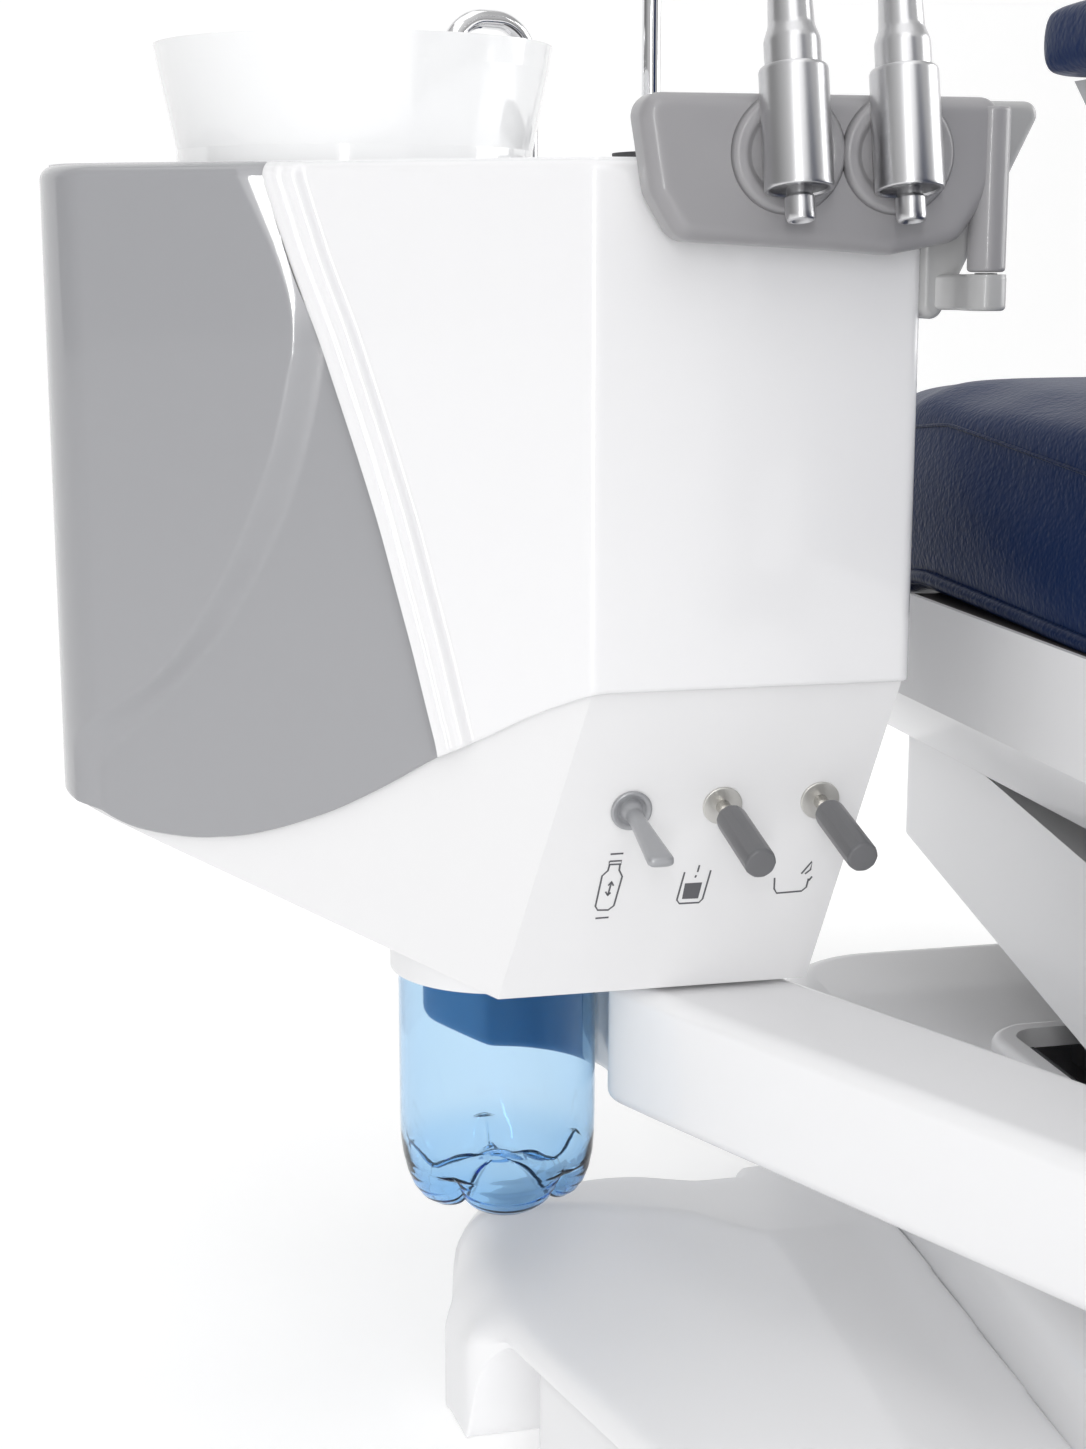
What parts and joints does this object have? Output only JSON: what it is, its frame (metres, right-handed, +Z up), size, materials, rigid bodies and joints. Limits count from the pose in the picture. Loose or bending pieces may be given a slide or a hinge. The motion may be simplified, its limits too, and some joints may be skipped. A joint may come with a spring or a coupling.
{
  "type": "dental patient chair",
  "caption": "Dental patient chair with a parallel-link lift, reclining back, sliding headrest, flip-up armrests and a side water unit with bowl, bottle, valves and suction holder.",
  "frame": {"origin": "middle of the base on the floor, on the underside of the centre levelling foot", "axes": "+Z up, +Y towards the patient's feet, -X the patient's left, where the water unit hangs"},
  "size_m": [1.0216, 1.6128, 1.2242],
  "materials": {
    "frame_grey": "satin powder coat",
    "steel": "satin",
    "black_rubber": "matt",
    "satin_white": "satin moulded or painted surface",
    "tray_grey": "satin",
    "gloss_white": "gloss lacquer",
    "gloss_grey": "gloss lacquer, fine metallic",
    "navy_leather": "grained artificial leather",
    "plywood": "sealed",
    "holder_grey": "satin lacquer",
    "satin_aluminium": "satin",
    "chrome": "polished",
    "knob_grey": "matt",
    "pearl": "gloss",
    "bowl_white": "glazed",
    "bottle_blue": "clear tinted"
  },
  "bodies": {
    "base": {"base_plate": "frame_grey", "levelling_feet": "black_rubber", "lift_pedestals": "frame_grey", "base_pivot_pins": "steel", "base_cover": "satin_white", "slot_wipers": "black_rubber", "lift_power_pack": "frame_grey", "floor_box_tray": "tray_grey", "floor_box_cover": "satin_white"},
    "lift_arm": {"lift_arm_frame": "frame_grey", "lift_arm_cover": "satin_white"},
    "links": {"parallel_links": "frame_grey"},
    "carrier": {"seat_carrier": "frame_grey", "carrier_pivot_pins": "steel", "seat_shroud": "satin_white", "seat_boards": "plywood", "seat_cushion": "navy_leather", "backrest_pins": "steel", "armrest_posts": "holder_grey", "support_arm": "satin_white", "unit_chassis": "frame_grey", "unit_hull": "satin_white", "bottle_sleeve": "satin_white", "unit_front_cover": "gloss_white", "unit_side_panel": "gloss_grey", "unit_deck": "satin_white", "bowl": "bowl_white", "bowl_strainer": "steel", "bowl_drain": "black_rubber", "cup_spout": "chrome", "bowl_spout": "chrome", "cup_pad": "black_rubber", "bottle_manifold": "satin_white", "valve_bodies": "steel", "knob_discs": "pearl", "lever_disc": "holder_grey", "holder_bracket": "holder_grey"},
    "bottle": {"bottle": "bottle_blue"},
    "bottle_lever": {"bottle_lever": "holder_grey"},
    "cup_knob": {"cup_knob": "knob_grey", "cup_knob_stem": "chrome"},
    "bowl_knob": {"bowl_knob": "knob_grey", "bowl_knob_stem": "chrome"},
    "holder": {"holder_tray": "holder_grey", "holder_cup_outer": "satin_aluminium", "holder_cup_inner": "satin_aluminium"},
    "handpiece_outer": {"suction_handpiece_outer": "satin_aluminium"},
    "handpiece_inner": {"suction_handpiece_inner": "satin_aluminium"},
    "backrest": {"backrest_cushion": "navy_leather", "backrest_board": "plywood", "backrest_shell": "satin_white", "backrest_frame": "frame_grey", "headrest_guide": "satin_white"},
    "headrest_stem": {"headrest_stem": "chrome"},
    "headrest": {"headrest_bracket": "frame_grey", "headrest_cushion": "navy_leather"},
    "armrest_left": {"armrest_bar_left": "holder_grey", "armrest_pad_left": "navy_leather"},
    "armrest_right": {"armrest_bar_right": "holder_grey", "armrest_pad_right": "navy_leather"}
  },
  "joints": [
    {"name": "lift", "type": "hinge", "parent": "base", "child": "lift_arm", "pos_m": [0, -0.3, 0.15], "axis": [1, 0, 0], "range_deg": [0, 32]},
    {"name": "link_turn", "type": "hinge", "parent": "base", "child": "links", "pos_m": [0, -0.3, 0.108], "axis": [1, 0, 0], "range_deg": [0, 32]},
    {"name": "carrier_level", "type": "hinge", "parent": "lift_arm", "child": "carrier", "pos_m": [0, 0.40016, 0.28991], "axis": [1, 0, 0], "range_deg": [-32, 0]},
    {"name": "backrest_recline", "type": "hinge", "parent": "carrier", "child": "backrest", "pos_m": [0, -0.3, 0.5], "axis": [1, 0, 0], "range_deg": [0, 58]},
    {"name": "headrest_slide", "type": "slide", "parent": "backrest", "child": "headrest_stem", "axis": [0, -0.5, 0.866], "range_m": [0, 0.12]},
    {"name": "headrest_tilt", "type": "hinge", "parent": "headrest_stem", "child": "headrest", "pos_m": [0, -0.74784, 1.10169], "axis": [1, 0, 0], "range_deg": [-15, 40]},
    {"name": "armrest_left_flip", "type": "hinge", "parent": "carrier", "child": "armrest_left", "pos_m": [-0.301, -0.34, 0.65], "axis": [1, 0, 0], "range_deg": [0, 85]},
    {"name": "armrest_right_flip", "type": "hinge", "parent": "carrier", "child": "armrest_right", "pos_m": [0.301, -0.34, 0.65], "axis": [1, 0, 0], "range_deg": [0, 85]},
    {"name": "bottle_drop", "type": "slide", "parent": "carrier", "child": "bottle", "axis": [0, 0, -1], "range_m": [0, 0.018]},
    {"name": "bottle_lever_tilt", "type": "hinge", "parent": "carrier", "child": "bottle_lever", "pos_m": [-0.433, 0.06495, 0.34517], "axis": [1, 0, 0], "range_deg": [-25, 25]},
    {"name": "cup_knob_turn", "type": "hinge", "parent": "carrier", "child": "cup_knob", "pos_m": [-0.3885, 0.06641, 0.3455], "axis": [0, -0.9755, -0.2198], "range_deg": [0, 300]},
    {"name": "bowl_knob_turn", "type": "hinge", "parent": "carrier", "child": "bowl_knob", "pos_m": [-0.34, 0.06641, 0.3455], "axis": [0, -0.9755, -0.2198], "range_deg": [0, 300]},
    {"name": "holder_swing", "type": "hinge", "parent": "carrier", "child": "holder", "pos_m": [-0.281, 0.03, 0.6], "axis": [0, 0, 1], "range_deg": [0, 55]},
    {"name": "handpiece_outer_lift", "type": "slide", "parent": "holder", "child": "handpiece_outer", "axis": [0, 0.2164, 0.9763], "range_m": [0, 0.09]},
    {"name": "handpiece_inner_lift", "type": "slide", "parent": "holder", "child": "handpiece_inner", "axis": [0, 0.2164, 0.9763], "range_m": [0, 0.09]}
  ],
  "couplings": [
    {"joint": "link_turn", "follows": "lift", "ratio": 1},
    {"joint": "carrier_level", "follows": "lift", "ratio": -1}
  ]
}
